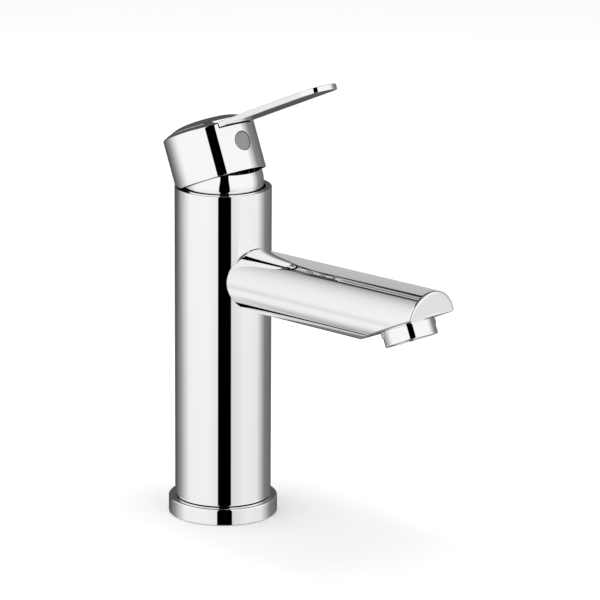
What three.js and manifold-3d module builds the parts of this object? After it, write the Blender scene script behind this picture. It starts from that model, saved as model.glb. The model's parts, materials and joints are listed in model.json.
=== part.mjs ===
// Single-lever basin mixer: an upright column with a straight round spout and a cap
// lever that tilts on a domed collar. Millimetres, +Z up. The origin is on the column's
// axis at the deck surface, and the spout and the lever point towards -Y. The lever is
// at rest fully lifted (open); level is closed.
import * as THREE from "three";
import { mergeVertices } from "three/addons/utils/BufferGeometryUtils.js";
import Module from "manifold-3d";

// Driving dimensions
const GAP = 0.3; // clearance between pieces that touch
const SIDES = 56; // facets round the visible pieces
const INNER_SIDES = 28; // facets round the pieces inside

const COLUMN_R = 23;
const COLUMN_BORE = 20.1;
const RIM_Z = 160.5;
const FLANGE_R = 26.1;
const FLANGE_Z = 8.3;
const NECK_R = 20; // foot of the column, inside the flange
const SHAFT_BORE = 19.2; // bore of the column below the valve seat block
const THROAT_R = 17.2; // ledge at the column's foot, round the foot plate's boss
const THROAT_LOW = 3;
const THROAT_TOP = 12;
const PLATE_TOP = 8;
const DECK_SEAL = [21.5, 24.5, 1.5]; // inner and outer radius, and thickness

const SPOUT_Z = 118.3; // where the spout's axis meets the column's axis
const SPOUT_R = 15;
const SPOUT_RISE = THREE.MathUtils.degToRad(1.2);
const SPOUT_REACH = 137.6; // along the spout's axis to the nose face
const NOSE_LEAN = THREE.MathUtils.degToRad(6);
const SPOUT_BORE = 12.6;
const SPIGOT_R = 11;
const OUTLET_REACH = 122.3; // centre of the outlet along the spout's axis
const OUTLET_DROP = 3.6; // centre of the outlet below the spout's axis
const OUTLET_TILT = THREE.MathUtils.degToRad(22.8); // outlet leans forward
const AERATOR_R = 12.8;
const AERATOR_HEIGHT = 7.5;
const AERATOR_FLAT = 12.1; // from the aerator's axis to a spanner flat
const AERATOR_TURN = THREE.MathUtils.degToRad(40); // where the flats come to rest
const AERATOR_THREAD_R = 10.9;
const WATERWAY_R = 7;

const PIVOT_Z = 160.4; // the lever tilts about this height
const TILT = THREE.MathUtils.degToRad(22.7); // from level to fully lifted
const DOME_R = 19.2;
const DOME_INNER_R = 17.5;
const DOME_CENTRE_Z = 162.6;
const DOME_MOUTH_R = 17.9;
const CAP_R = 21.9;
const CAP_BORE = 20.5;
const CAP_LOW = 3.4; // heights in the cap, from the pivot along its axis
const CAP_WALL_TOP = 27.5;
const CAP_SHOULDER = 29.2;
const DISC_R = 18.3;
const DISC_LOW = 25.4;
const DISC_TOP = 32.2;
const CROWN_POWER = 3.5; // the crown is flat in the middle and slopes at its edge
const BLADE_LOW = 25.5;
const BLADE_THICK = 2.6;
const BLADE_WIDTH = 20;
const BLADE_REACH = 87.7;
const BLADE_TIP_R = 9.3;
const PLUG_Z = 17;
const PLUG_R = 4.4;
const PLUG_INSET = 0.1; // the plug's face lies this far inside the cap's wall
const SKIRT_CLEAR = 0.6; // trimmed skirt above the column's rim
const ADAPTER_R = 17.5;
const ADAPTER_LOW = 20.1; // clear of the dome's mouth

const CORE_R = 19.8; // valve seat block and its cup
const CORE_LOW = 93.4;
const CORE_FLOOR = 130;
const CUP_TOP = 150;
const CUP_BORE = 17.8;
const CARTRIDGE_R = 17.4;
const DISC_ARM = 11; // from the pivot down to the spindle's ball
const PORT_R = 3.2;
const PORT_SPREAD = 8; // hot and cold ports from the axis along X
const PORT_BACK = 4;
const OUTLET_PORT_Y = -7.5;
const INLET_X = 9.5;
const INLET_Y = 3;
const INLET_R = 6;
const INLET_BORE = 4;
const INLET_LOW = 0.8;
const STUD_Y = -10;
const STUD_R = 3.4;

const QUARTER = Math.PI / 2;

// Materials
const finish = (color, roughness, metalness) =>
  new THREE.MeshStandardMaterial({ color, roughness, metalness });
const chrome = finish(0xe9ebee, 0.05, 1);
const brass = finish(0xc9a24e, 0.35, 1);
const steel = finish(0xb4b7bb, 0.3, 1);
const rubber = finish(0x1c1c1e, 0.8, 0);
const ceramic = finish(0xf3f1ea, 0.35, 0);
const whitePlastic = finish(0xe6e7e8, 0.5, 0);
const greyPlastic = finish(0x8a8a8c, 0.6, 0);

// Solids: every shape is a closed BufferGeometry, joined and cut through manifold-3d.
const wasm = await Module();
wasm.setup();

function toSolid(geometry) {
  const bare = geometry.clone();
  bare.deleteAttribute("normal");
  bare.deleteAttribute("uv");
  const merged = mergeVertices(bare, 1e-4);
  const index = merged.index.array;
  const kept = [];
  for (let i = 0; i < index.length; i += 3) {
    const [a, b, c] = [index[i], index[i + 1], index[i + 2]];
    if (a !== b && b !== c && c !== a) kept.push(a, b, c);
  }
  return new wasm.Manifold(new wasm.Mesh({
    numProp: 3,
    vertProperties: new Float32Array(merged.attributes.position.array),
    triVerts: new Uint32Array(kept),
  }));
}

function toGeometry(solid) {
  const mesh = solid.getMesh();
  const geometry = new THREE.BufferGeometry();
  geometry.setAttribute("position", new THREE.BufferAttribute(mesh.vertProperties, 3));
  geometry.setIndex(new THREE.BufferAttribute(mesh.triVerts, 1));
  geometry.computeVertexNormals();
  return geometry;
}

const combine = (how) => (first, ...rest) =>
  toGeometry(rest.reduce((sum, next) => sum[how](toSolid(next)), toSolid(first)));
const join = combine("add");
const cut = combine("subtract");
const common = combine("intersect");

// A profile of [radius, height] points turned about Z, listed anticlockwise.
function turn(profile, sides = SIDES) {
  const points = profile.map(([r, z]) => new THREE.Vector2(r, z));
  return new THREE.LatheGeometry(points, sides).rotateX(QUARTER);
}

// A solid rod from z0 to z1 about Z.
const rod = (r, z0, z1, sides = SIDES) => turn([[0, z0], [r, z0], [r, z1], [0, z1]], sides);

// A tube from z0 to z1 about Z.
const tube = (outer, inner, z0, z1, sides = INNER_SIDES) =>
  turn([[inner, z0], [outer, z0], [outer, z1], [inner, z1], [inner, z0]], sides);

const block = (low, high) =>
  new THREE.BoxGeometry(high[0] - low[0], high[1] - low[1], high[2] - low[2]).translate(
    (low[0] + high[0]) / 2, (low[1] + high[1]) / 2, (low[2] + high[2]) / 2);

const oRing = (r, thick, z) =>
  new THREE.TorusGeometry(r, thick / 2, 6, INNER_SIDES).translate(0, 0, z);

// Points of an arc about [r, z], from one angle to another in degrees.
function arc(r, z, radius, from, to, steps) {
  return Array.from({ length: steps + 1 }, (_, i) => {
    const angle = THREE.MathUtils.degToRad(from + (to - from) * i / steps);
    return [r + radius * Math.cos(angle), z + radius * Math.sin(angle)];
  });
}

function piece(name, geometry, material) {
  const mesh = new THREE.Mesh(cut(geometry), material);
  mesh.name = name;
  return mesh;
}

// A shape given in the object's frame, moved into a group's own frame.
function inFrameOf(group, geometry) {
  group.updateWorldMatrix(true, false);
  return geometry.applyMatrix4(group.matrixWorld.clone().invert());
}

const faucet = new THREE.Group();
const spout = new THREE.Group();
const aerator = new THREE.Group();
const handle = new THREE.Group();
faucet.add(spout, handle);
spout.add(aerator);

// In the spout's frame +Z runs along the spout and +Y is up.
spout.position.z = SPOUT_Z;
spout.rotation.x = QUARTER - SPOUT_RISE;
// In the aerator's frame +Z is the way the water leaves, from the slanted underside.
aerator.position.set(0, -OUTLET_DROP, OUTLET_REACH);
aerator.rotation.x = QUARTER - OUTLET_TILT;
// In the handle's frame +Z is the cap's axis and the lever points to -Y.
handle.position.z = PIVOT_Z;
handle.rotation.x = -TILT;

// Foot of the column
function baseFlange() {
  const edge = 0.9;
  const [sealInner, sealOuter, sealTop] = DECK_SEAL;
  const [grooveIn, grooveOut, grooveTop] = [sealInner - GAP, sealOuter + GAP, sealTop + GAP];
  return turn([
    [NECK_R + GAP, 0], [grooveIn, 0], [grooveIn, grooveTop], [grooveOut, grooveTop],
    [grooveOut, 0], [FLANGE_R - edge, 0],
    ...arc(FLANGE_R - edge, edge, edge, -60, 0, 2),
    ...arc(FLANGE_R - edge, FLANGE_Z - edge, edge, 0, 90, 3),
    [NECK_R + GAP, FLANGE_Z], [NECK_R + GAP, 0],
  ]);
}

function baseSeal() {
  const [inner, outer, top] = DECK_SEAL;
  return tube(outer, inner, 0, top);
}

function footPlate() {
  const rim = NECK_R - GAP;
  const boss = THROAT_R - GAP;
  const step = THROAT_LOW - GAP;
  const plate = turn([
    [0, 0], [rim, 0], [rim, step], [boss, step], [boss, PLATE_TOP], [0, PLATE_TOP],
  ], INNER_SIDES);
  const inlets = [-INLET_X, INLET_X].map((x) =>
    rod(INLET_R + GAP, -1, PLATE_TOP + 1, INNER_SIDES).translate(x, INLET_Y, 0));
  const stud = rod(STUD_R, -1, PLATE_TOP + 1, 24).translate(0, STUD_Y, 0);
  return cut(plate, ...inlets, stud);
}

const inletTube = (side) =>
  tube(INLET_R, INLET_BORE, INLET_LOW, CORE_LOW + 5, 32).translate(side * INLET_X, INLET_Y, 0);

const inletSeal = (side) =>
  oRing(INLET_R + 0.85, 1, CORE_LOW + 1.1).translate(side * INLET_X, INLET_Y, 0);

function columnBody() {
  const chamfer = 0.35;
  const shell = turn([
    [THROAT_R, THROAT_LOW], [NECK_R, THROAT_LOW], [NECK_R, FLANGE_Z + GAP],
    [COLUMN_R, FLANGE_Z + GAP],
    [COLUMN_R, RIM_Z - chamfer], [COLUMN_R - chamfer, RIM_Z], [COLUMN_BORE, RIM_Z],
    [COLUMN_BORE, CORE_LOW - GAP], [SHAFT_BORE, CORE_LOW - GAP], [SHAFT_BORE, THROAT_TOP],
    [THROAT_R, THROAT_TOP], [THROAT_R, THROAT_LOW],
  ]);
  const hole = rod(SPIGOT_R + GAP, 12, 26, INNER_SIDES).applyMatrix4(spout.matrix);
  return cut(shell, hole);
}

// Valve seat block: a solid lower part with the waterways, and a cup for the cartridge.
function valveCore() {
  const body = turn([
    [0, CORE_LOW], [CORE_R, CORE_LOW], [CORE_R, CUP_TOP], [CUP_BORE, CUP_TOP],
    [CUP_BORE, CORE_FLOOR], [0, CORE_FLOOR],
  ], INNER_SIDES);
  const inlets = [-1, 1].flatMap((side) => [
    rod(INLET_R + GAP, CORE_LOW - 1, CORE_LOW + 6, 32).translate(side * INLET_X, INLET_Y, 0),
    rod(INLET_R + 1.8, CORE_LOW - 1, CORE_LOW + 2.2, 32).translate(side * INLET_X, INLET_Y, 0),
    rod(PORT_R, CORE_LOW, CORE_FLOOR + 1, 20).translate(side * PORT_SPREAD, PORT_BACK, 0),
  ]);
  const mixed = rod(PORT_R, SPOUT_Z, CORE_FLOOR + 1, 20).translate(0, OUTLET_PORT_Y, 0);
  const outlet = join(
    rod(WATERWAY_R + GAP, 5, 24, 32),
    rod(WATERWAY_R + 2, 17, 24, 32),
  ).applyMatrix4(spout.matrix);
  return cut(body, ...inlets, mixed, outlet);
}

// Three-port plate: hot and cold behind, mixed water in front.
function portPlate(r, z0, z1) {
  const ports = [[PORT_SPREAD, PORT_BACK], [-PORT_SPREAD, PORT_BACK], [0, OUTLET_PORT_Y]].map(
    ([x, y]) => rod(PORT_R, z0 - 1, z1 + 1, 20).translate(x, y, 0));
  return cut(rod(r, z0, z1, INNER_SIDES), ...ports);
}

// Cartridge: plates, discs and carrier stacked on the valve core's floor
const SEAL_Z = CORE_FLOOR + GAP;
const BASE_Z = SEAL_Z + 2;
const FIXED_Z = BASE_Z + 5.6;
const MOVING_Z = FIXED_Z + 4.2;
const CARRIER_Z = MOVING_Z + 4;
const CARRIER_TOP = 150.6;
const HOUSING_BORE = 16.2;
const HOUSING_TOP = 155.5;
const NUT_TOP = 157.5;
const NUT_NECK_R = 18.3;
const NUT_MOUTH_R = 12.2;
const NUT_SHOULDER = 156.1; // the dome's O-ring lies on it
const ROTOR_Z = 151;
const ROTOR_TOP = 164.5;
const ROTOR_R = 11;
const DISC_SIZE_R = 11.5;
const BALL_R = 2.4;
const SPINDLE_HALF = 2.9;
const SPINDLE_TOP = 19.5;
const PIN_R = 1.5;
const FLANGE_TOP = 152.6; // the rotor's flange runs under the housing's lip
const ROTOR_FLANGE_R = 13;
const discShift = -DISC_ARM * Math.sin(TILT); // the moving disc lies forward at rest

const movingDisc = () => cut(
  rod(DISC_SIZE_R, MOVING_Z, CARRIER_Z - GAP, INNER_SIDES),
  rod(8.2, MOVING_Z - 1, MOVING_Z + 1.8, 28),
).translate(0, discShift, 0);

function discCarrier() {
  const half = BALL_R + 0.5; // pocket that takes the spindle's ball
  const plate = rod(DISC_SIZE_R, CARRIER_Z, CARRIER_TOP, INNER_SIDES);
  const pocket = block([-half, -half, CARRIER_Z + 0.6], [half, half, CARRIER_TOP + 1]);
  return cut(plate, pocket).translate(0, discShift, 0);
}

const cartridgeHousing = () => turn([
  [HOUSING_BORE, FIXED_Z], [CARTRIDGE_R, FIXED_Z], [CARTRIDGE_R, HOUSING_TOP],
  [ROTOR_R + GAP, HOUSING_TOP], [ROTOR_R + GAP, FLANGE_TOP + GAP],
  [HOUSING_BORE, FLANGE_TOP + GAP],
  [HOUSING_BORE, FIXED_Z],
], INNER_SIDES);

const acrossX = (r, half, z) => rod(r, -half, half, 20).rotateY(QUARTER).translate(0, 0, z);

function cartridgeRotor() {
  const body = turn([
    [0, ROTOR_Z], [ROTOR_FLANGE_R, ROTOR_Z], [ROTOR_FLANGE_R, FLANGE_TOP],
    [ROTOR_R, FLANGE_TOP], [ROTOR_R, ROTOR_TOP], [0, ROTOR_TOP],
  ], INNER_SIDES);
  const slotX = SPINDLE_HALF + 0.5;
  const slot = block([-slotX, -7.8, ROTOR_Z - 1], [slotX, 7.8, ROTOR_TOP + 1]);
  return cut(body, slot, acrossX(PIN_R + GAP, 14, PIVOT_Z));
}

const spindlePin = () => acrossX(PIN_R, 10, PIVOT_Z);

const cartridgeNut = () => turn([
  [CARTRIDGE_R + GAP, CUP_TOP + GAP], [CORE_R, CUP_TOP + GAP], [CORE_R, NUT_SHOULDER],
  [NUT_NECK_R, NUT_SHOULDER], [NUT_NECK_R, NUT_TOP], [NUT_MOUTH_R, NUT_TOP],
  [NUT_MOUTH_R, HOUSING_TOP + GAP],
  [CARTRIDGE_R + GAP, HOUSING_TOP + GAP], [CARTRIDGE_R + GAP, CUP_TOP + GAP],
], INNER_SIDES);

// Collar dome: a ball surface open at the top for the spindle.
function bonnetDome() {
  const low = DOME_CENTRE_Z - NUT_TOP - GAP;
  const degrees = THREE.MathUtils.radToDeg;
  const mouth = degrees(Math.acos(DOME_MOUTH_R / DOME_R));
  const foot = (radius) => -degrees(Math.asin(low / radius));
  const outside = arc(0, DOME_CENTRE_Z, DOME_R, foot(DOME_R), mouth, 8);
  const inside = arc(0, DOME_CENTRE_Z, DOME_INNER_R, mouth, foot(DOME_INNER_R), 8);
  return turn([...outside, ...inside, outside[0]]);
}

// Handle, in the handle's frame
const alongY = (r, y0, y1, z, sides) =>
  rod(r, y0, y1, sides).rotateX(-QUARTER).translate(0, 0, z);

function handleCap() {
  const mouth = DISC_R + GAP;
  const wall = turn([
    [CAP_BORE, CAP_LOW], [CAP_R, CAP_LOW], [CAP_R, CAP_WALL_TOP],
    [CAP_R - 0.9, CAP_WALL_TOP + 0.7], [mouth + 0.8, CAP_SHOULDER - 0.1], [mouth, CAP_SHOULDER],
    [mouth, 24], [CAP_BORE, 24], [CAP_BORE, CAP_LOW],
  ]);
  const notchX = BLADE_WIDTH / 2 + GAP;
  const notch = block([-notchX, -CAP_R - 1, BLADE_LOW - 0.4], [notchX, -10, CAP_SHOULDER + 1]);
  const plugHole = alongY(PLUG_R + GAP, -CAP_R - 1, -15, PLUG_Z, 32);
  const underTrim = inFrameOf(handle, block([-40, -40, 100], [40, 40, RIM_Z + SKIRT_CLEAR]));
  return cut(wall, notch, plugHole, underTrim);
}

function leverBlade() {
  const rise = DISC_TOP - CAP_SHOULDER;
  const crown = Array.from({ length: 9 }, (_, i) => {
    const t = Math.cos(QUARTER * i / 8);
    return [DISC_R * t, CAP_SHOULDER + rise * (1 - t ** CROWN_POWER)];
  });
  const disc = turn([[0, DISC_LOW], [DISC_R, DISC_LOW], ...crown]);
  const half = BLADE_WIDTH / 2;
  const tip = -BLADE_REACH + BLADE_TIP_R;
  const outline = new THREE.Shape();
  outline.moveTo(-half, -8);
  outline.lineTo(-half, tip);
  outline.absarc(-half + BLADE_TIP_R, tip, BLADE_TIP_R, Math.PI, Math.PI * 1.5, false);
  outline.absarc(half - BLADE_TIP_R, tip, BLADE_TIP_R, -QUARTER, 0, false);
  outline.lineTo(half, -8);
  const blade = new THREE.ExtrudeGeometry(outline, {
    depth: BLADE_THICK, bevelEnabled: false, curveSegments: 8,
  }).translate(0, 0, BLADE_LOW);
  return join(disc, blade);
}

function spindleAdapter() {
  const half = SPINDLE_HALF + GAP;
  const body = join(
    rod(6, 14, ADAPTER_LOW + 1, INNER_SIDES),
    rod(ADAPTER_R, ADAPTER_LOW, DISC_LOW - GAP, INNER_SIDES),
  );
  const socket = block([-half, -half, 13], [half, half, SPINDLE_TOP + GAP]);
  return cut(body, socket, alongY(2.7, -8, 0, PLUG_Z, 20));
}

function spindle() {
  const half = SPINDLE_HALF;
  const bar = block([-half, -half, -8.5], [half, half, SPINDLE_TOP]);
  const neck = rod(1.9, -DISC_ARM, -8, 16);
  const ball = new THREE.SphereGeometry(BALL_R, 16, 10).translate(0, 0, -DISC_ARM);
  return cut(join(bar, neck, ball), acrossX(PIN_R + GAP, 5, 0));
}

function grubScrew() {
  const key = new THREE.CylinderGeometry(1.4, 1.4, 4, 6).translate(0, -12.5, PLUG_Z);
  return cut(alongY(2.4, -12.5, -SPINDLE_HALF - 0.4, PLUG_Z, 20), key);
}

const indexPlug = () => common(
  alongY(PLUG_R, -CAP_R - 1, -19.4, PLUG_Z, 32),
  rod(CAP_R - PLUG_INSET, PLUG_Z - 8, PLUG_Z + 8),
);

// Spout, in the spout's frame
const outletSide = (depth) =>
  block([-40, -60, -depth], [40, 60, 60]).applyMatrix4(aerator.matrix);

function spoutShell() {
  const wall = 3;
  const spigotEnd = COLUMN_BORE + GAP;
  const column = inFrameOf(spout, rod(COLUMN_R + GAP, 60, RIM_Z));
  const nose = block([-40, -40, 0], [40, 40, 40]).rotateX(NOSE_LEAN).translate(0, 0, SPOUT_REACH);
  const outside = cut(rod(SPOUT_R, 5, SPOUT_REACH + 5), column, nose, outletSide(0));
  const hollow = cut(rod(SPOUT_BORE, 27, SPOUT_REACH - 4, INNER_SIDES), outletSide(wall));
  const thread = rod(AERATOR_THREAD_R + GAP, -9.5, 1, INNER_SIDES).applyMatrix4(aerator.matrix);
  return cut(
    join(outside, rod(SPIGOT_R, spigotEnd, 30, INNER_SIDES)),
    hollow, thread, rod(WATERWAY_R + 2, 10, 30, INNER_SIDES),
  );
}

const spoutWaterway = () => turn([
  [5.6, 8], [WATERWAY_R, 8], [WATERWAY_R, 93], [9.5, 93], [9.5, 97], [5.6, 97], [5.6, 8],
], INNER_SIDES);

const spoutSeal = () => oRing(WATERWAY_R + 1, 1.2, 18.2);

// Aerator, in the aerator's frame
const aeratorWasher = () => tube(10.7, 7.5, -9.1, -7.3);

function aeratorHousing() {
  const edge = 0.7;
  const ring = turn([
    [9.9, -7], [AERATOR_THREAD_R, -7], [AERATOR_THREAD_R, GAP], [AERATOR_R, GAP],
    ...arc(AERATOR_R - edge, AERATOR_HEIGHT - edge, edge, 0, 90, 3),
    [9.2, AERATOR_HEIGHT], [9.2, 5.8], [9.9, 5.8], [9.9, -7],
  ]);
  const flats = [0, Math.PI].map((side) =>
    block([AERATOR_FLAT, -10, 3], [AERATOR_R + 1, 10, AERATOR_HEIGHT + 1])
      .rotateZ(AERATOR_TURN + side));
  return cut(ring, ...flats);
}

// A round plate with a centre hole and a ring of holes.
function sieve(r, z0, z1, holeR, ringR, count) {
  const hole = (x, y) => rod(holeR, z0 - 1, z1 + 1, 12).translate(x, y, 0);
  const ring = Array.from({ length: count }, (_, i) => {
    const angle = 2 * Math.PI * i / count;
    return hole(ringR * Math.cos(angle), ringR * Math.sin(angle));
  });
  return cut(rod(r, z0, z1, INNER_SIDES), hole(0, 0), ...ring);
}

faucet.add(
  piece("base_flange", baseFlange(), chrome),
  piece("base_seal", baseSeal(), rubber),
  piece("foot_plate", footPlate(), brass),
  piece("hot_inlet_tube", inletTube(-1), brass),
  piece("cold_inlet_tube", inletTube(1), brass),
  piece("hot_inlet_seal", inletSeal(-1), rubber),
  piece("cold_inlet_seal", inletSeal(1), rubber),
);
spout.updateMatrix();
aerator.updateMatrix();
faucet.add(
  piece("column_body", columnBody(), chrome),
  piece("valve_core", valveCore(), brass),
  piece("cartridge_seal", portPlate(CARTRIDGE_R - 1, SEAL_Z, BASE_Z - GAP), rubber),
  piece("cartridge_base", portPlate(CARTRIDGE_R, BASE_Z, FIXED_Z - GAP), whitePlastic),
  piece("fixed_disc", portPlate(HOUSING_BORE - GAP, FIXED_Z, MOVING_Z - GAP), ceramic),
  piece("moving_disc", movingDisc(), ceramic),
  piece("disc_carrier", discCarrier(), whitePlastic),
  piece("cartridge_housing", cartridgeHousing(), whitePlastic),
  piece("cartridge_rotor", cartridgeRotor(), whitePlastic),
  piece("spindle_pin", spindlePin(), steel),
  piece("cartridge_nut", cartridgeNut(), brass),
  piece("dome_seal", oRing(NUT_NECK_R + 0.75, 1, NUT_SHOULDER + 0.7), rubber),
  piece("bonnet_dome", bonnetDome(), chrome),
);
handle.add(
  piece("handle_cap", handleCap(), chrome),
  piece("lever_blade", leverBlade(), chrome),
  piece("spindle_adapter", spindleAdapter(), whitePlastic),
  piece("spindle", spindle(), steel),
  piece("grub_screw", grubScrew(), steel),
  piece("index_plug", indexPlug(), greyPlastic),
);
spout.add(
  piece("spout_shell", spoutShell(), chrome),
  piece("spout_waterway", spoutWaterway(), whitePlastic),
  piece("spout_seal", spoutSeal(), rubber),
);
aerator.add(
  piece("aerator_washer", aeratorWasher(), rubber),
  piece("aerator_housing", aeratorHousing(), chrome),
  piece("aerator_insert", sieve(9.6, -5, 5, 1.6, 5.6, 6), whitePlastic),
  piece("aerator_screen", sieve(8.9, 5.4, 6.2, 1.7, 5.6, 6), steel),
);

export default faucet;
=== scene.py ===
"""Looks of a single-lever basin mixer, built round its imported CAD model.

The pieces that show are rebuilt with fine meshes and soft edges, and the pieces inside
keep their CAD shape. Sizes are in millimetres until a mesh is placed, then in metres.
"""

import json
import math

import bmesh
import bpy
import numpy as np
from mathutils import Matrix, Vector


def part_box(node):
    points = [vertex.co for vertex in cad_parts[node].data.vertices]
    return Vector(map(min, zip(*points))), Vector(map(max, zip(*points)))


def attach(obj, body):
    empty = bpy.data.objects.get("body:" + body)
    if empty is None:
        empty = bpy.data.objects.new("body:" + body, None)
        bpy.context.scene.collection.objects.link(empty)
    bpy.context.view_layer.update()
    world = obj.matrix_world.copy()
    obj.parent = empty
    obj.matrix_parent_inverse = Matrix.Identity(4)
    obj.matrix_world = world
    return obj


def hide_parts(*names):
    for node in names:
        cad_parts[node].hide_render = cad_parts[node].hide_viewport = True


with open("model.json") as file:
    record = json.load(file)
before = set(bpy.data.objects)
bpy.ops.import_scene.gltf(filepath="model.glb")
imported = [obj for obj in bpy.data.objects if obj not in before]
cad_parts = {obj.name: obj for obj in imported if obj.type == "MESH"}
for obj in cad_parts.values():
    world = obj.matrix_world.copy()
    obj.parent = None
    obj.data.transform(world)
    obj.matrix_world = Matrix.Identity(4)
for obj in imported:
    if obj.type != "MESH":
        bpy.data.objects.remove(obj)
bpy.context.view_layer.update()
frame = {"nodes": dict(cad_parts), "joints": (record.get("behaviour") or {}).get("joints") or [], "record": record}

MM = 0.001
TURN = 2 * math.pi
SIDES = 256  # facets round a piece that shows
GAP = 0.3  # clearance between pieces

# Sizes that follow the frame
FLANGE_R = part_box("base_flange")[1][0] / MM
FLANGE_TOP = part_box("base_flange")[1][2] / MM
COLUMN_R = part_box("column_body")[1][0] / MM
RIM_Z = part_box("column_body")[1][2] / MM
COLUMN_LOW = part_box("column_body")[0][2] / MM
CORE_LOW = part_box("valve_core")[0][2] / MM
SPOUT_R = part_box("spout_shell")[1][0] / MM
CAP_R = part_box("handle_cap")[1][0] / MM
PLUG_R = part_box("index_plug")[1][0] / MM
DOME_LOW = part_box("bonnet_dome")[0][2] / MM

lift = next(joint for joint in frame["joints"] if joint["name"] == "lever_lift")
PIVOT_Z = lift["pos_m"][2] / MM
TILT = -math.radians(lift["range_deg"][0])

# Column, and the flange with the groove of its seal
COLUMN_BORE = 20.1
NECK_R = 20.0  # the column's lower end, inside the flange
NECK_BORE = 17.2
SHAFT_R = 19.2
SHAFT_LOW = 12.0
GROOVE_INNER_R = 21.2
GROOVE_OUTER_R = 24.8
GROOVE_TOP = 1.8

# Foot plate and inlets
PLATE_R = 19.7
PLATE_NECK_R = 16.9
PLATE_STEP = 2.7
PLATE_TOP = 8.0
INLET_X = 9.5
INLET_Y = 3.0
INLET_R = 6.0
INLET_BORE = 4.0
INLET_LOW = 0.8
INLET_TOP = 98.4
STUD_Y = -10.0
STUD_HOLE_R = 3.4

# Bonnet dome, a ball surface that is open at the top
DOME_R = 19.2
DOME_INNER_R = 17.5
DOME_CENTRE_Z = 162.6
DOME_MOUTH_R = 17.9
DOME_LIP = 0.25

# Spout, in its own frame: +Z runs along it, +Y is up
SPOUT_Z = 118.3
SPOUT_RISE = math.radians(1.2)
SPOUT_REACH = 137.6
NOSE_LEAN = math.radians(6)
OUTLET_REACH = 122.3
OUTLET_DROP = 3.6
OUTLET_TILT = math.radians(22.8)
SPIGOT_R = 11.0
WATERWAY_SEAT_R = 9.0
ROOT_SOFT = 1.2  # rounding of the edge at the column
NOSE_SOFT = 1.2  # rounding of the edges at the nose and the underside

# Handle, in its own frame: +Z is the cap's axis, and the lever points to -Y
CAP_LOW = 3.4
CAP_WALL_TOP = 27.5
CAP_SHOULDER = 29.2
CAP_BORE = 20.5
CAP_CEILING = 24.0
DISC_R = 18.3
DISC_LOW = 25.4
DISC_RISE = 3.0
CROWN_POWER = 3.5
BLADE_HALF = 10.0  # half the blade's width
BLADE_LOW = 25.5
BLADE_THICK = 2.6
BLADE_REACH = 87.7
BLADE_TIP_R = 9.3
PLUG_Z = 17.0
PLUG_BACK = 19.4  # from the cap's axis to the plug's flat back
SKIRT_CLEAR = 0.6

# Aerator, in its own frame: +Z points down out of the spout
AERATOR_R = 12.8
AERATOR_HEIGHT = 7.5
AERATOR_FLAT = 12.1  # from the axis to a spanner flat
AERATOR_TURN = math.radians(40)

HANDLE = Matrix.Translation((0, 0, PIVOT_Z)) @ Matrix.Rotation(-TILT, 4, "X")
SPOUT = Matrix.Translation((0, 0, SPOUT_Z)) @ Matrix.Rotation(math.pi / 2 - SPOUT_RISE, 4, "X")
AERATOR = (SPOUT @ Matrix.Translation((0, -OUTLET_DROP, OUTLET_REACH))
           @ Matrix.Rotation(math.pi / 2 - OUTLET_TILT, 4, "X"))
UPRIGHT = Matrix.Identity(4)


# Camera and stage

# Distances in metres, angles in radians and the lens in millimetres
CAMERA_TURN = math.radians(-43)  # the camera stands to the left of the front
CAMERA_FAR = 1.7585
CAMERA_HIGH = 0.5822
CAMERA_PAN = 0.0208
CAMERA_TILT = 0.2652
CAMERA_ROLL = 0.0063
LENS = 229.8


def add_camera():
    """A long lens to the left of the front, a little above the faucet."""
    data = bpy.data.cameras.new("camera")
    data.sensor_width = 36
    data.lens = LENS
    data.clip_end = 100
    camera = bpy.data.objects.new("camera", data)
    place = Vector((math.sin(CAMERA_TURN) * CAMERA_FAR, -math.cos(CAMERA_TURN) * CAMERA_FAR,
                    CAMERA_HIGH))
    level = (Matrix.Rotation(CAMERA_TURN - CAMERA_PAN, 4, "Z")
             @ Matrix.Rotation(math.pi / 2 - CAMERA_TILT, 4, "X"))
    camera.matrix_world = Matrix.Translation(place) @ level @ Matrix.Rotation(CAMERA_ROLL, 4, "Z")
    bpy.context.scene.collection.objects.link(camera)
    bpy.context.scene.camera = camera


# Mesh tools

def made(name, verts, faces, place):
    """A mesh object from points in millimetres, welded, with its faces pointing out."""
    mesh = bpy.data.meshes.new(name)
    mesh.from_pydata([tuple(v) for v in verts], [], faces)
    shell = bmesh.new()
    shell.from_mesh(mesh)
    bmesh.ops.remove_doubles(shell, verts=shell.verts, dist=1e-4)
    bmesh.ops.delete(shell, geom=[v for v in shell.verts if not v.link_faces], context="VERTS")
    bmesh.ops.recalc_face_normals(shell, faces=shell.faces)
    shell.to_mesh(mesh)
    shell.free()
    mesh.transform(Matrix.Scale(MM, 4) @ place)
    piece = bpy.data.objects.new(name, mesh)
    bpy.context.scene.collection.objects.link(piece)
    return piece


def grid(name, rows, place):
    """A closed surface from rings of points; a ring of radius 0 closes an end."""
    count = len(rows[0])
    faces = []
    for i in range(len(rows) - 1):
        low, high = i * count, (i + 1) * count
        for j in range(count):
            k = (j + 1) % count
            faces.append((low + j, low + k, high + k, high + j))
    return made(name, [p for row in rows for p in row], faces, place)


def filleted(corners, steps=5):
    """A closed outline of (r, z, radius) corners, each rounded by its radius."""
    points = []
    for i, (r, z, radius) in enumerate(corners):
        here = Vector((r, z))
        if not radius:
            points.append(here)
            continue
        back = (Vector(corners[i - 1][:2]) - here).normalized()
        ahead = (Vector(corners[(i + 1) % len(corners)][:2]) - here).normalized()
        half = back.angle(ahead) / 2
        centre = here + (back + ahead).normalized() * radius / math.sin(half)
        start = here + back * radius / math.tan(half) - centre
        sweep = start.angle_signed(here + ahead * radius / math.tan(half) - centre)
        for k in range(steps + 1):
            turn = -sweep * k / steps
            points.append(centre + Vector((
                start.x * math.cos(turn) - start.y * math.sin(turn),
                start.x * math.sin(turn) + start.y * math.cos(turn))))
    return points


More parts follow.
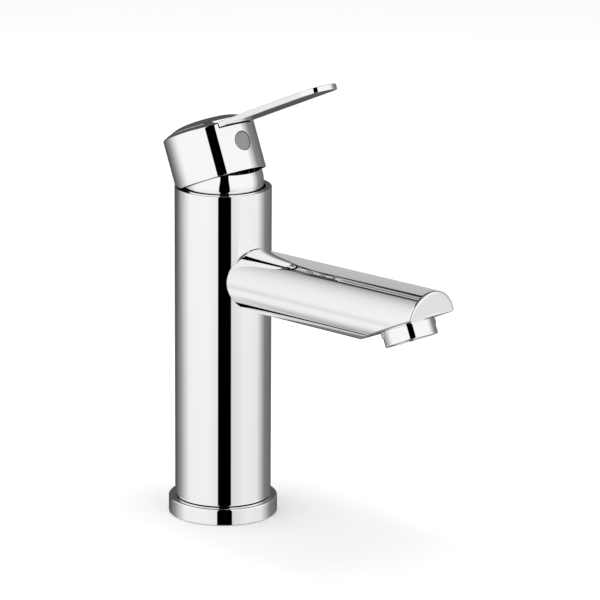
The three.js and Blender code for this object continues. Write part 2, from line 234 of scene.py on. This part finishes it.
def turned(name, corners, place=UPRIGHT, sides=SIDES):
    """A closed outline of (r, z, radius) corners turned about Z."""
    outline = filleted(corners)
    outline.append(outline[0])
    angles = [TURN * j / sides for j in range(sides)]
    rows = [[(r * math.cos(a), r * math.sin(a), z) for a in angles] for r, z in outline]
    return grid(name, rows, place)


def rod(r, low, high, place=UPRIGHT, sides=SIDES):
    """A cylinder that cuts or is joined."""
    return turned("tool", [(0, low, 0), (r, low, 0), (r, high, 0), (0, high, 0)], place, sides)


def block(low, high, place=UPRIGHT):
    """A box between two corners."""
    xs, ys, zs = zip(low, high)
    corners = [(x, y, z) for z in zs for y in ys for x in xs]
    faces = [(0, 1, 3, 2), (4, 5, 7, 6), (0, 1, 5, 4), (2, 3, 7, 6), (0, 2, 6, 4), (1, 3, 7, 5)]
    return made("tool", corners, faces, place)


def settle(piece):
    """Turns a piece's modifiers into plain mesh."""
    bpy.context.view_layer.update()
    result = piece.evaluated_get(bpy.context.evaluated_depsgraph_get())
    mesh = bpy.data.meshes.new_from_object(result)
    piece.modifiers.clear()
    piece.data = mesh
    mesh.name = piece.name
    return piece


def combined(piece, how, *tools):
    """A piece after a boolean with each tool, and the tools are used up."""
    for tool in tools:
        change = piece.modifiers.new(how, "BOOLEAN")
        change.operation = how
        change.solver = "EXACT"
        change.object = tool
    settle(piece)
    for tool in tools:
        bpy.data.objects.remove(tool)
    return piece


def softened(piece, width, steps=3):
    """Rounds the sharp edges of a piece, in millimetres."""
    bevel = piece.modifiers.new("edges", "BEVEL")
    bevel.width = width * MM
    bevel.segments = steps
    bevel.limit_method = "ANGLE"
    bevel.angle_limit = math.radians(40)
    bevel.use_clamp_overlap = False
    return settle(piece)


REBUILT = set()
SLOTS = {part["node"]: part["material_slot"] for part in frame["record"]["subparts"]}


def placed(piece, node, material, sharp=38):
    """Stands for a CAD node: smooth shading, a material, and the node's body."""
    mesh = piece.data
    mesh.shade_smooth()
    mesh.set_sharp_from_angle(angle=math.radians(sharp))
    weighted = piece.modifiers.new("normals", "WEIGHTED_NORMAL")
    weighted.keep_sharp = True
    settle(piece)
    piece.data.materials.clear()
    piece.data.materials.append(material)
    body = next(name for name, nodes in frame["record"]["behaviour"]["bodies"].items() if node in nodes)
    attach(piece, body)
    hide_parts(node)
    REBUILT.add(node)


# Materials

def material(name, color, metallic, roughness, detail=400.0, spread=0.03, bump=0.02, **sockets):
    """A surface with fine variation in its roughness, its tone and its relief."""
    made_material = bpy.data.materials.new(name)
    made_material.use_nodes = True
    nodes, links = made_material.node_tree.nodes, made_material.node_tree.links
    shader = nodes["Principled BSDF"]
    shader.inputs["Metallic"].default_value = metallic
    for socket, value in sockets.items():
        shader.inputs[socket.replace("_", " ")].default_value = value

    where = nodes.new("ShaderNodeTexCoord")
    noise = nodes.new("ShaderNodeTexNoise")
    noise.inputs["Scale"].default_value = detail
    noise.inputs["Detail"].default_value = 4
    links.new(where.outputs["Object"], noise.inputs["Vector"])

    rough = nodes.new("ShaderNodeMapRange")
    rough.inputs["To Min"].default_value = max(roughness - spread, 0.0)
    rough.inputs["To Max"].default_value = roughness + spread
    links.new(noise.outputs["Fac"], rough.inputs["Value"])
    links.new(rough.outputs["Result"], shader.inputs["Roughness"])

    broad = nodes.new("ShaderNodeTexNoise")
    broad.inputs["Scale"].default_value = detail / 12
    links.new(where.outputs["Object"], broad.inputs["Vector"])
    tone = nodes.new("ShaderNodeMix")
    tone.data_type = "RGBA"
    tone.inputs["A"].default_value = (*[c * 0.97 for c in color], 1)
    tone.inputs["B"].default_value = (*color, 1)
    links.new(broad.outputs["Fac"], tone.inputs["Factor"])
    links.new(tone.outputs["Result"], shader.inputs["Base Color"])

    if bump:
        relief = nodes.new("ShaderNodeBump")
        relief.inputs["Strength"].default_value = bump
        relief.inputs["Distance"].default_value = 0.0002
        links.new(noise.outputs["Fac"], relief.inputs["Height"])
        links.new(relief.outputs["Normal"], shader.inputs["Normal"])
    return made_material


MATERIALS = {
    "chrome": material("chrome", (0.93, 0.935, 0.94), 1, 0.02, detail=60, spread=0.01, bump=0),
    # Painted shade: a near-black rough metal that stands for the shade inside the cap's hollow, used on the cap's
    # inner wall and ceiling
    "painted_bore_shade": material("painted_bore_shade", (0.05, 0.05, 0.052), 1, 0.4, detail=500, spread=0.05, bump=0.05),
    "brass": material("brass", (0.80, 0.60, 0.30), 1, 0.28, detail=900, spread=0.08, bump=0.1),
    "steel": material("steel", (0.66, 0.67, 0.68), 1, 0.25, detail=1200, spread=0.06, bump=0.08),
    "rubber": material("rubber", (0.022, 0.022, 0.024), 0, 0.6, detail=1500, spread=0.1, bump=0.25),
    "ceramic": material("ceramic", (0.84, 0.83, 0.79), 0, 0.2, detail=700, spread=0.05, bump=0.02),
    "white_plastic": material("white_plastic", (0.78, 0.79, 0.80), 0, 0.42, detail=800, bump=0.08),
    "grey_plastic": material("grey_plastic", (0.4, 0.4, 0.405), 0, 0.45, detail=1100, bump=0.12),
}


# Pieces

def base_flange():
    """The ring round the foot of the column, with a groove for its seal."""
    neck = NECK_R + GAP
    piece = turned("flange_shell", [
        (neck, 0, 0.1), (GROOVE_INNER_R, 0, 0.1), (GROOVE_INNER_R, GROOVE_TOP, 0),
        (GROOVE_OUTER_R, GROOVE_TOP, 0), (GROOVE_OUTER_R, 0, 0.1),
        (FLANGE_R, 0, 0.5), (FLANGE_R, FLANGE_TOP, 0.9), (neck, FLANGE_TOP, 0.2),
    ])
    placed(piece, "base_flange", MATERIALS["chrome"])


def column_body():
    """The upright, with a bore for the cartridge and a hole for the spout's spigot."""
    step = FLANGE_TOP + GAP
    spread = SPOUT_R + 2
    piece = turned("column_shell", [
        (NECK_BORE, COLUMN_LOW, 0), (NECK_R, COLUMN_LOW, 0.2), (NECK_R, step, 0),
        (COLUMN_R, step, 0.25), (COLUMN_R, SPOUT_Z - spread, 0), (COLUMN_R, SPOUT_Z + spread, 0),
        (COLUMN_R, RIM_Z, 0.35), (COLUMN_BORE, RIM_Z, 0.25),
        (COLUMN_BORE, CORE_LOW - GAP, 0), (SHAFT_R, CORE_LOW - GAP, 0),
        (SHAFT_R, SHAFT_LOW, 0), (NECK_BORE, SHAFT_LOW, 0),
    ])
    combined(piece, "DIFFERENCE", rod(SPIGOT_R + GAP, 12, 26, SPOUT, 96))
    placed(piece, "column_body", MATERIALS["chrome"])


def arc(centre, radius, start, end, steps):
    """Points of an arc about a centre on the axis, as corners of a turned outline."""
    angles = [start + (end - start) * i / steps for i in range(steps + 1)]
    return [(radius * math.cos(a), centre + radius * math.sin(a), 0) for a in angles]


def bonnet_dome():
    """The ball surface in the column's mouth, with a narrow rounded lip at its own mouth."""
    foot = DOME_CENTRE_Z - DOME_LOW
    mouth = math.acos(DOME_MOUTH_R / DOME_R)
    below_lip = mouth - 0.012
    outside = arc(DOME_CENTRE_Z, DOME_R, -math.asin(foot / DOME_R), below_lip, 48)
    inside = arc(DOME_CENTRE_Z, DOME_INNER_R, below_lip, -math.asin(foot / DOME_INNER_R), 48)
    lip = [(r * math.cos(mouth), DOME_CENTRE_Z + r * math.sin(mouth), 0)
           for r in (DOME_R - DOME_LIP, DOME_INNER_R + DOME_LIP)]
    placed(turned("collar_dome", [*outside, *lip, *inside]), "bonnet_dome", MATERIALS["chrome"])


def handle_cap():
    """The cap's wall, with its trimmed skirt and the notch that the lever lies in."""
    notch = BLADE_HALF + GAP
    mouth = DISC_R + GAP
    notch_low = BLADE_LOW - 0.4
    across, around = 40, 120  # columns across the notch, and on each side of it
    columns = [u / (across / 2) for u in range(-across // 2, across // 2)]
    columns += [1 + u / around for u in range(2 * around)]

    def angle(u, r):
        side = math.asin(notch / r)
        if abs(u) <= 1:
            return math.asin(u * notch / r)
        return side + (u - 1) / 2 * (TURN - 2 * side)

    def ring(r, z):
        points = []
        for u in columns:
            a = angle(u, r)
            x, y = r * math.sin(a), -r * math.cos(a)
            skirt = (RIM_Z + SKIRT_CLEAR - PIVOT_Z + y * math.sin(TILT)) / math.cos(TILT)
            points.append((x, y, max(z, skirt)))
        return points

    shoulder = filleted([(CAP_R, notch_low, 0), (CAP_R, CAP_WALL_TOP, 0.8),
                         (mouth, CAP_SHOULDER, 0.25), (mouth, notch_low, 0)])
    wall = [(CAP_R, z) for z in (CAP_LOW, PLUG_Z - PLUG_R - 1, PLUG_Z + PLUG_R + 1)]
    profile = [*wall, *shoulder, (mouth, CAP_CEILING), (CAP_BORE, CAP_CEILING), (CAP_BORE, CAP_LOW)]
    first = len(wall)
    last = first + len(shoulder) - 1
    rows = [ring(r, z) for r, z in profile]
    count = len(columns)
    faces = []
    for j in range(count):
        k = (j + 1) % count
        for i in range(len(rows)):
            if j < across and first <= i < last:
                continue
            n = (i + 1) % len(rows)
            faces.append((i * count + j, i * count + k, n * count + k, n * count + j))
        if j < across:
            faces.append((first * count + j, first * count + k, last * count + k, last * count + j))
    for j in (0, across):
        faces.append(tuple(i * count + j for i in range(first, last + 1)))
    piece = made("cap_shell", [p for row in rows for p in row], faces, HANDLE)
    softened(piece, 0.2)
    hole = rod(PLUG_R + GAP, 15, CAP_R + 1, HANDLE @ Matrix.Translation((0, 0, PLUG_Z))
               @ Matrix.Rotation(math.pi / 2, 4, "X"), 128)
    combined(piece, "DIFFERENCE", hole)
    placed(piece, "handle_cap", MATERIALS["chrome"])
    # Painted shade on the cap's inner wall and ceiling
    paint_bore_shade(piece)


def paint_bore_shade(piece):
    """Paints shade on the cap's inner wall and ceiling: a near-black rough metal that stands for the shade in the
    cap's hollow.
    """
    piece.data.materials.append(MATERIALS["painted_bore_shade"])
    to_handle = HANDLE.inverted()
    for face in piece.data.polygons:
        spot = to_handle @ (face.center / MM)
        if math.hypot(spot.x, spot.y) < CAP_BORE + 0.1 and spot.z < CAP_CEILING + 0.1:
            face.material_index = 1


def lever_blade():
    """The domed disc in the cap's top and the flat lever that grows out of it."""
    crown = []
    steps = 56
    for i in range(steps + 1):
        t = math.cos(math.pi / 2 * i / steps)
        crown.append((DISC_R * t, CAP_SHOULDER + DISC_RISE * (1 - t ** CROWN_POWER), 0))
    disc = turned("lever", [(0, DISC_LOW, 0), (DISC_R, DISC_LOW, 0.3), *crown], HANDLE)

    tip = BLADE_REACH - BLADE_TIP_R
    flat = BLADE_HALF - BLADE_TIP_R
    steps = 32
    outline = [(-BLADE_HALF, -8)]
    for i in range(steps + 1):
        a = math.pi / 2 * i / steps
        outline.append((-flat - BLADE_TIP_R * math.cos(a), -tip - BLADE_TIP_R * math.sin(a)))
    outline += [(-x, y) for x, y in reversed(outline)]
    count = len(outline)
    verts = [(x, y, z) for z in (BLADE_LOW, BLADE_LOW + BLADE_THICK) for x, y in outline]
    faces = [tuple(range(count)), tuple(range(count, 2 * count))]
    faces += [(j, (j + 1) % count, count + (j + 1) % count, count + j) for j in range(count)]
    blade = softened(made("tool", verts, faces, HANDLE), 0.22)
    placed(combined(disc, "UNION", blade), "lever_blade", MATERIALS["chrome"])


def index_plug():
    """A round plug whose face follows the cap's wall."""
    face_r = CAP_R - 0.1
    edge = 0.35
    sides = 96
    rings = [(PLUG_R - edge) * k / 10 for k in range(11)]
    profile = [(r, 0) for r in rings]
    profile += [(PLUG_R - edge + edge * math.sin(a), edge * (1 - math.cos(a)))
                for a in [math.pi / 2 * k / 6 for k in range(1, 7)]]
    rows = []
    for r, drop in profile:
        row = []
        for j in range(sides):
            a = TURN * j / sides
            x, z = r * math.cos(a), r * math.sin(a)
            row.append((x, -math.sqrt(face_r ** 2 - x ** 2) + drop, PLUG_Z + z))
        rows.append(row)
    rows.append([(x, -PLUG_BACK, z) for x, y, z in rows[-1]])
    rows.append([(0, -PLUG_BACK, PLUG_Z)] * sides)
    placed(grid("index_disc", rows, HANDLE), "index_plug", MATERIALS["grey_plastic"])


def rounded_by_ball(points, radius):
    """Moves points of the sharp spout on to the same solid with its edges rounded.

    The solid shrinks by the radius, each point's nearest place on it is found by turns of
    the three limits (the round wall, the nose and the underside), and the point is set one
    radius away from that place.
    """
    nose = (np.array([0, -math.sin(NOSE_LEAN), math.cos(NOSE_LEAN)]), np.array([0, 0, SPOUT_REACH]))
    under = (np.array([0, -math.cos(OUTLET_TILT), math.sin(OUTLET_TILT)]),
             np.array([0, -OUTLET_DROP, OUTLET_REACH]))

    def inside_wall(p):
        r = np.hypot(p[:, 0], p[:, 1])
        scale = np.minimum(1, (SPOUT_R - radius) / np.maximum(r, 1e-9))
        return p * np.stack([scale, scale, np.ones_like(scale)], 1)

    def inside_plane(plane):
        normal, start = plane
        return lambda p: p - np.maximum(0, (p - start) @ normal + radius)[:, None] * normal

    limits = [inside_wall, inside_plane(nose), inside_plane(under)]
    place = points.copy()
    memory = [np.zeros_like(points) for _ in limits]
    for _ in range(300):
        for k, limit in enumerate(limits):
            wanted = place + memory[k]
            place = limit(wanted)
            memory[k] = wanted - place
    away = points - place
    return place + radius * away / np.linalg.norm(away, axis=1)[:, None]


def spout_shell():
    """The round tube, cut at the column, the nose and the underside, with its spigot."""
    slope = 1 / math.tan(OUTLET_TILT)
    lean = math.tan(NOSE_LEAN)
    fold_y = (SPOUT_REACH - OUTLET_REACH - OUTLET_DROP * slope) / (slope - lean)
    fold = np.array([0, fold_y, SPOUT_REACH + fold_y * lean])
    corner = math.asin(fold_y / SPOUT_R)

    def spread(start, end, steps):
        """Angles that lie closer together near both ends."""
        parts = [i / steps for i in range(steps)]
        return [start + (end - start) * (t - 0.6 * math.sin(TURN * t) / TURN) for t in parts]

    angles = np.array(spread(corner, math.pi - corner, 120)
                      + spread(math.pi - corner, TURN + corner, 168))
    x, y = np.cos(angles), np.sin(angles)

    def root(px, py):
        """Where the column's surface lies, along the spout."""
        level = np.sqrt((COLUMN_R + GAP) ** 2 - px ** 2)
        return (level + py * math.sin(SPOUT_RISE)) / math.cos(SPOUT_RISE)

    end = np.minimum(SPOUT_REACH + SPOUT_R * y * lean,
                     OUTLET_REACH + (SPOUT_R * y + OUTLET_DROP) * slope)
    rows = []
    for r in (0, 6, SPIGOT_R - 1, SPIGOT_R + 1, SPOUT_R - ROOT_SOFT):
        rows.append(np.stack([r * x, r * y, root(r * x, r * y)], 1))
    for k in range(1, 7):
        a = math.pi / 2 * k / 6
        r = SPOUT_R - ROOT_SOFT + ROOT_SOFT * math.sin(a)
        rise = ROOT_SOFT * (1 - math.cos(a))
        rows.append(np.stack([r * x, r * y, root(r * x, r * y) + rise], 1))
    sharp = []
    for back in (30, 15, 10, 7, 5, 4, 3, 2.4, 1.9, 1.5, 1.2, 0.9, 0.65, 0.4, 0.2, 0):
        sharp.append(np.stack([SPOUT_R * x, SPOUT_R * y, end - back], 1))
    rim = sharp[-1]
    for part in (0.01, 0.02, 0.035, 0.05, 0.07, 0.1, 0.14, 0.2, 0.3, 0.45, 0.6, 0.75, 0.88, 0.96):
        sharp.append(rim + (fold - rim) * part)
    sharp.append(np.tile(fold, (len(angles), 1)))
    rows += [rounded_by_ball(row, NOSE_SOFT) for row in sharp]
    piece = grid("spout_tube", [row.tolist() for row in rows], SPOUT)

    combined(piece, "UNION", rod(SPIGOT_R, COLUMN_BORE + GAP, 30, SPOUT, 128))
    hollow = combined(rod(12.6, 27, SPOUT_REACH - 4, SPOUT, 96), "DIFFERENCE",
                      block((-40, -60, -3), (40, 60, 60), AERATOR))
    combined(piece, "DIFFERENCE", hollow, rod(11.2, -9.5, 1, AERATOR, 96),
             rod(WATERWAY_SEAT_R, 10, 30, SPOUT, 96))
    placed(piece, "spout_shell", MATERIALS["chrome"])


def aerator_housing():
    """The ring under the spout, with two spanner flats."""
    piece = turned("aerator_ring", [
        (9.9, -7, 0), (10.9, -7, 0.2), (10.9, GAP, 0), (AERATOR_R, GAP, 0.15),
        (AERATOR_R, AERATOR_HEIGHT, 0.7), (9.2, AERATOR_HEIGHT, 0.3), (9.2, 5.8, 0), (9.9, 5.8, 0),
    ], AERATOR)
    flats = []
    for side in (0, math.pi):
        place = AERATOR @ Matrix.Rotation(AERATOR_TURN + side, 4, "Z")
        flats.append(block((AERATOR_FLAT, -10, 3), (AERATOR_R + 2, 10, AERATOR_HEIGHT + 2), place))
    combined(piece, "DIFFERENCE", *flats)
    placed(piece, "aerator_housing", MATERIALS["chrome"])


def sieve(name, r, low, high, hole_r, rings, place):
    """A round plate with rings of small holes, each (radius, count)."""
    plate = turned(name, [(0, low, 0), (r, low, 0.1), (r, high, 0.1), (0, high, 0)], place, 128)
    holes = []
    for ring_r, count in rings:
        for i in range(count):
            a = TURN * i / count
            at = place @ Matrix.Translation((ring_r * math.cos(a), ring_r * math.sin(a), 0))
            holes.append(rod(hole_r, low - 1, high + 1, at, 24))
    return combined(plate, "DIFFERENCE", *holes)


def aerator_insides():
    """The flow former and the sieve that show through the outlet."""
    insert = sieve("flow_former", 9.6, -5, 5, 1.0, [(0, 1), (3.4, 6), (6.8, 12)], AERATOR)
    placed(insert, "aerator_insert", MATERIALS["white_plastic"])
    screen = sieve("outlet_screen", 8.9, 5.4, 6.2, 0.6, [(0, 1), (2.2, 6), (4.4, 12), (6.6, 18)],
                   AERATOR)
    placed(screen, "aerator_screen", MATERIALS["steel"])


def foot():
    """The foot plate, the seal in the flange's groove and the two inlet tubes."""
    plate = turned("foot_disc", [
        (0, 0, 0), (PLATE_R, 0, 0.3), (PLATE_R, PLATE_STEP, 0.1), (PLATE_NECK_R, PLATE_STEP, 0),
        (PLATE_NECK_R, PLATE_TOP, 0.2), (0, PLATE_TOP, 0),
    ], sides=192)
    sockets = [Matrix.Translation((side * INLET_X, INLET_Y, 0)) for side in (-1, 1)]
    holes = [rod(INLET_R + GAP, -1, PLATE_TOP + 1, socket, 96) for socket in sockets]
    holes.append(rod(STUD_HOLE_R, -1, PLATE_TOP + 1, Matrix.Translation((0, STUD_Y, 0)), 96))
    placed(combined(plate, "DIFFERENCE", *holes), "foot_plate", MATERIALS["brass"])

    inner, outer, top = GROOVE_INNER_R + GAP, GROOVE_OUTER_R - GAP, GROOVE_TOP - GAP
    seal = turned("deck_seal", [(inner, 0, 0.3), (outer, 0, 0.3), (outer, top, 0.3), (inner, top, 0.3)],
                  sides=192)
    placed(seal, "base_seal", MATERIALS["rubber"])

    tubes = (("hot_way", "hot_inlet_tube"), ("cold_way", "cold_inlet_tube"))
    for (name, node), socket in zip(tubes, sockets):
        tube = turned(name, [(INLET_BORE, INLET_LOW, 0.4), (INLET_R, INLET_LOW, 0.3),
                             (INLET_R, INLET_TOP, 0.3), (INLET_BORE, INLET_TOP, 0.4)], socket, 96)
        placed(tube, node, MATERIALS["brass"])


def carried_over():
    """The pieces inside keep their CAD shape and get the slot's material."""
    for node, piece in frame["nodes"].items():
        if node not in REBUILT:
            for index in range(len(piece.data.materials)):
                piece.data.materials[index] = MATERIALS[SLOTS[node]]


# Studio

def linear(display):
    """The light that shows as this display value in polished chrome."""
    return display ** 2.2 / 0.93


# Tones by elevation in degrees, in front of the object and behind it
FRONT = [(-90, 0.75), (-64, 0.7), (-60, 0.15), (-52, 0.15), (-46, 0.85), (-35, 0.94), (-19, 0.94),
         (-12, 0.97), (45, 0.97), (55, 0.42), (90, 0.42)]
BACK = [(-90, 0.75), (-60, 0.6), (-40, 0.36), (-16, 0.3), (20, 0.32), (38, 0.3), (42, 0.15), (50, 0.2),
        (70, 0.4), (90, 0.45)]
# The front's share by turn from the camera in degrees, right positive: low down, near the
# level and higher up, with the elevations between which one passes into the next
LOW_SHARE = [(-180, 0), (-132, 0.4), (-106, 1), (105, 1), (118, 0.6), (180, 0)]
LEVEL_SHARE = [(-180, 0), (-149, 0.03), (-123, 0.25), (-88, 0.97), (-40, 1), (20, 0.75), (53, 0.93),
               (88, 0.88), (118, 0.16), (180, 0)]
HIGH_SHARE = [(-180, 0), (-130, 0.02), (-126, 0.42), (-98, 0.85), (-85, 1), (90, 1), (118, 0.18),
              (180, 0)]
LOW_TO_LEVEL = [(-27, 0), (-20, 1)]
LEVEL_TO_HIGH = [(-16, 0), (-8, 1)]
# The black gap between the soft boxes: its turn, half its width by elevation, how sharp its
# edges are, and the elevations where it fades out
GAP_TURN = CAMERA_TURN + math.radians(3.5)
GAP_HALF = [(-6, 0.25), (16, 0.195)]
GAP_EDGE = 50
GAP_ENDS = [(-62, 1), (-58, 0), (78, 0), (82, 1)]


def studio_light():
    """A white studio all round: soft boxes on both sides of the camera with a black gap
    between them, grey walls behind the object, and a dark edge to the table in front."""
    world = bpy.data.worlds.new("studio")
    bpy.context.scene.world = world
    world.use_nodes = True
    nodes, links = world.node_tree.nodes, world.node_tree.links
    nodes.clear()

    def feed(sockets, values):
        """Sets each socket to a number or links it to another socket."""
        for socket, value in zip(sockets, values):
            if isinstance(value, (int, float)):
                socket.default_value = value
            else:
                links.new(value, socket)

    def work(operation, *values, clamp=False):
        """One step of arithmetic."""
        node = nodes.new("ShaderNodeMath")
        node.operation = operation
        node.use_clamp = clamp
        feed(node.inputs, values)
        return node.outputs[0]

    def ramp(value, stops):
        """A tone for each value: stops are (value, tone)."""
        low, high = stops[0][0], stops[-1][0]
        place = nodes.new("ShaderNodeMapRange")
        feed([place.inputs[name] for name in ("Value", "From Min", "From Max")], (value, low, high))
        curve = nodes.new("ShaderNodeValToRGB")
        elements = curve.color_ramp.elements
        while len(elements) < len(stops):
            elements.new(0.5)
        for element, (at, tone) in zip(elements, stops):
            element.position = (at - low) / (high - low)
            element.color = (tone, tone, tone, 1)
        links.new(place.outputs["Result"], curve.inputs["Fac"])
        return curve.outputs["Color"]

    def blend(amount, a, b):
        """a where the amount is 0, and b where it is 1."""
        node = nodes.new("ShaderNodeMix")
        feed([node.inputs[name] for name in ("Factor", "A", "B")], (amount, a, b))
        return node.outputs["Result"]

    where = nodes.new("ShaderNodeTexCoord")
    split = nodes.new("ShaderNodeSeparateXYZ")
    links.new(where.outputs["Generated"], split.inputs[0])
    x, y, z = split.outputs

    def along(turn):
        """How far a direction goes towards a horizontal one at this turn from the front."""
        return work("ADD", work("MULTIPLY", x, math.sin(turn)), work("MULTIPLY", y, -math.cos(turn)))

    quarter = math.pi / 2
    degrees = 180 / math.pi
    sideways = work("ARCTAN2", along(CAMERA_TURN + quarter), along(CAMERA_TURN))
    turn = work("MULTIPLY", sideways, degrees)
    rise = work("MULTIPLY", work("ARCSINE", z), degrees)
    front = ramp(rise, [(at, linear(tone)) for at, tone in FRONT])
    back = ramp(rise, [(at, linear(tone)) for at, tone in BACK])
    share = blend(ramp(rise, LOW_TO_LEVEL), ramp(turn, LOW_SHARE), ramp(turn, LEVEL_SHARE))
    share = blend(ramp(rise, LEVEL_TO_HIGH), share, ramp(turn, HIGH_SHARE))
    room = blend(share, back, front)

    aside = work("ABSOLUTE", along(GAP_TURN + quarter))
    beside = work("MULTIPLY", work("SUBTRACT", aside, ramp(rise, GAP_HALF)), GAP_EDGE, clamp=True)
    behind = work("MULTIPLY", along(GAP_TURN), -GAP_EDGE, clamp=True)
    lit = work("MAXIMUM", work("MAXIMUM", beside, behind), ramp(rise, GAP_ENDS))

    light = nodes.new("ShaderNodeBackground")
    links.new(work("MULTIPLY", room, lit), light.inputs["Color"])
    output = nodes.new("ShaderNodeOutputWorld")
    links.new(light.outputs[0], output.inputs["Surface"])


# The card behind the spout, in metres, and the tone that it adds to the grey wall's
CARD_FAR = 3.0
CARD_WIDE = 7.0
CARD_HIGH = 3.9
CARD_CENTRE = 1.17
CARD_TONE = linear(0.73) - linear(0.32)


def spout_card():
    """A soft card behind the object that only the spout's upper side mirrors."""
    data = bpy.data.lights.new("spout_card", "AREA")
    data.shape = "RECTANGLE"
    data.size = CARD_WIDE
    data.size_y = CARD_HIGH
    data.energy = CARD_TONE * math.pi * CARD_WIDE * CARD_HIGH
    card = bpy.data.objects.new("spout_card", data)
    away = Vector((-math.sin(CAMERA_TURN), math.cos(CAMERA_TURN), 0)) * CARD_FAR
    card.location = away + Vector((0, 0, CARD_CENTRE))
    card.rotation_euler = (math.pi / 2, 0, CAMERA_TURN + math.pi)
    bpy.context.scene.collection.objects.link(card)
    receivers = bpy.data.collections.new("spout_only")
    receivers.objects.link(bpy.data.objects["spout_tube"])
    card.light_linking.receiver_collection = receivers


OVERHEAD_WATTS = 100
OVERHEAD_WIDE = 3.0
OVERHEAD_HIGH = 3.0


def overhead_light():
    """A broad soft light for the floor and the plastics; polished metal doesn't mirror it."""
    data = bpy.data.lights.new("overhead", "AREA")
    data.shape = "DISK"
    data.size = OVERHEAD_WIDE
    data.energy = OVERHEAD_WATTS
    light = bpy.data.objects.new("overhead", data)
    light.location = (0, 0, OVERHEAD_HIGH)
    light.visible_glossy = False
    bpy.context.scene.collection.objects.link(light)


def floor():
    """A plain white surface that the faucet stands on."""
    half = 12
    corners = [(-half, -half, 0), (half, -half, 0), (half, half, 0), (-half, half, 0)]
    mesh = bpy.data.meshes.new("floor")
    mesh.from_pydata(corners, [], [(0, 1, 2, 3)])
    piece = bpy.data.objects.new("floor", mesh)
    bpy.context.scene.collection.objects.link(piece)
    mesh.materials.append(material("floor", (0.95, 0.95, 0.95), 0, 0.8, detail=3, bump=0))
    piece.visible_glossy = False


add_camera()
base_flange()
column_body()
bonnet_dome()
handle_cap()
lever_blade()
index_plug()
spout_shell()
aerator_housing()
aerator_insides()
foot()
carried_over()
studio_light()
spout_card()
overhead_light()
floor()
bpy.context.scene.view_settings.view_transform = "Standard"

bpy.context.view_layer.update()
